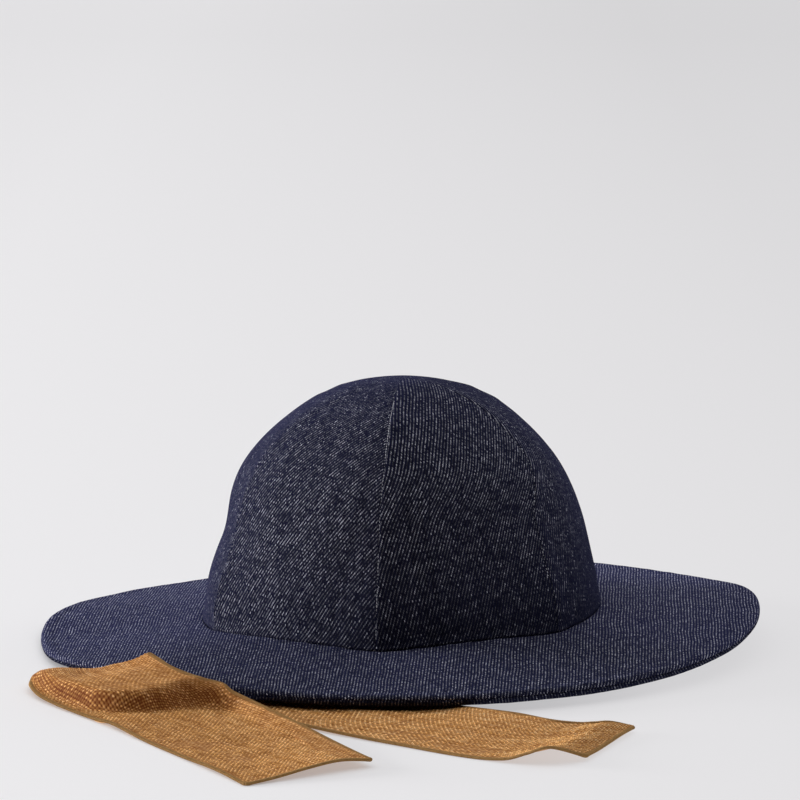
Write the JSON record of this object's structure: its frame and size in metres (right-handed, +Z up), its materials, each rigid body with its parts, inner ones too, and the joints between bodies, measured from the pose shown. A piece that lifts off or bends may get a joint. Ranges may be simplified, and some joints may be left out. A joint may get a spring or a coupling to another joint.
{
  "type": "sun hat",
  "caption": "Denim sun hat with a round gored crown, a wide two-ply brim with a rolled edge, and two wide woven ribbon ties laid loose in front of it",
  "frame": {"origin": "on the floor, on the upright axis through the middle of the head opening", "axes": "+Z up, -Y is the front, +X is to the right of someone who faces the front of the hat"},
  "size_m": [0.3404, 0.481, 0.1255],
  "materials": {
    "crown_denim": "dark indigo right-hand twill with pale flecks",
    "brim_denim": "dark indigo right-hand twill with pale flecks",
    "ribbon": "tan coarse matt weave with olive-brown rolled hems"
  },
  "bodies": {
    "root": {"crown_panel_1": "crown_denim", "crown_panel_2": "crown_denim", "crown_panel_3": "crown_denim", "crown_panel_4": "crown_denim", "crown_panel_5": "crown_denim", "crown_panel_6": "crown_denim", "brim_top": "brim_denim", "brim_under": "brim_denim", "tie_left": "ribbon", "tie_right": "ribbon"}
  },
  "joints": []
}
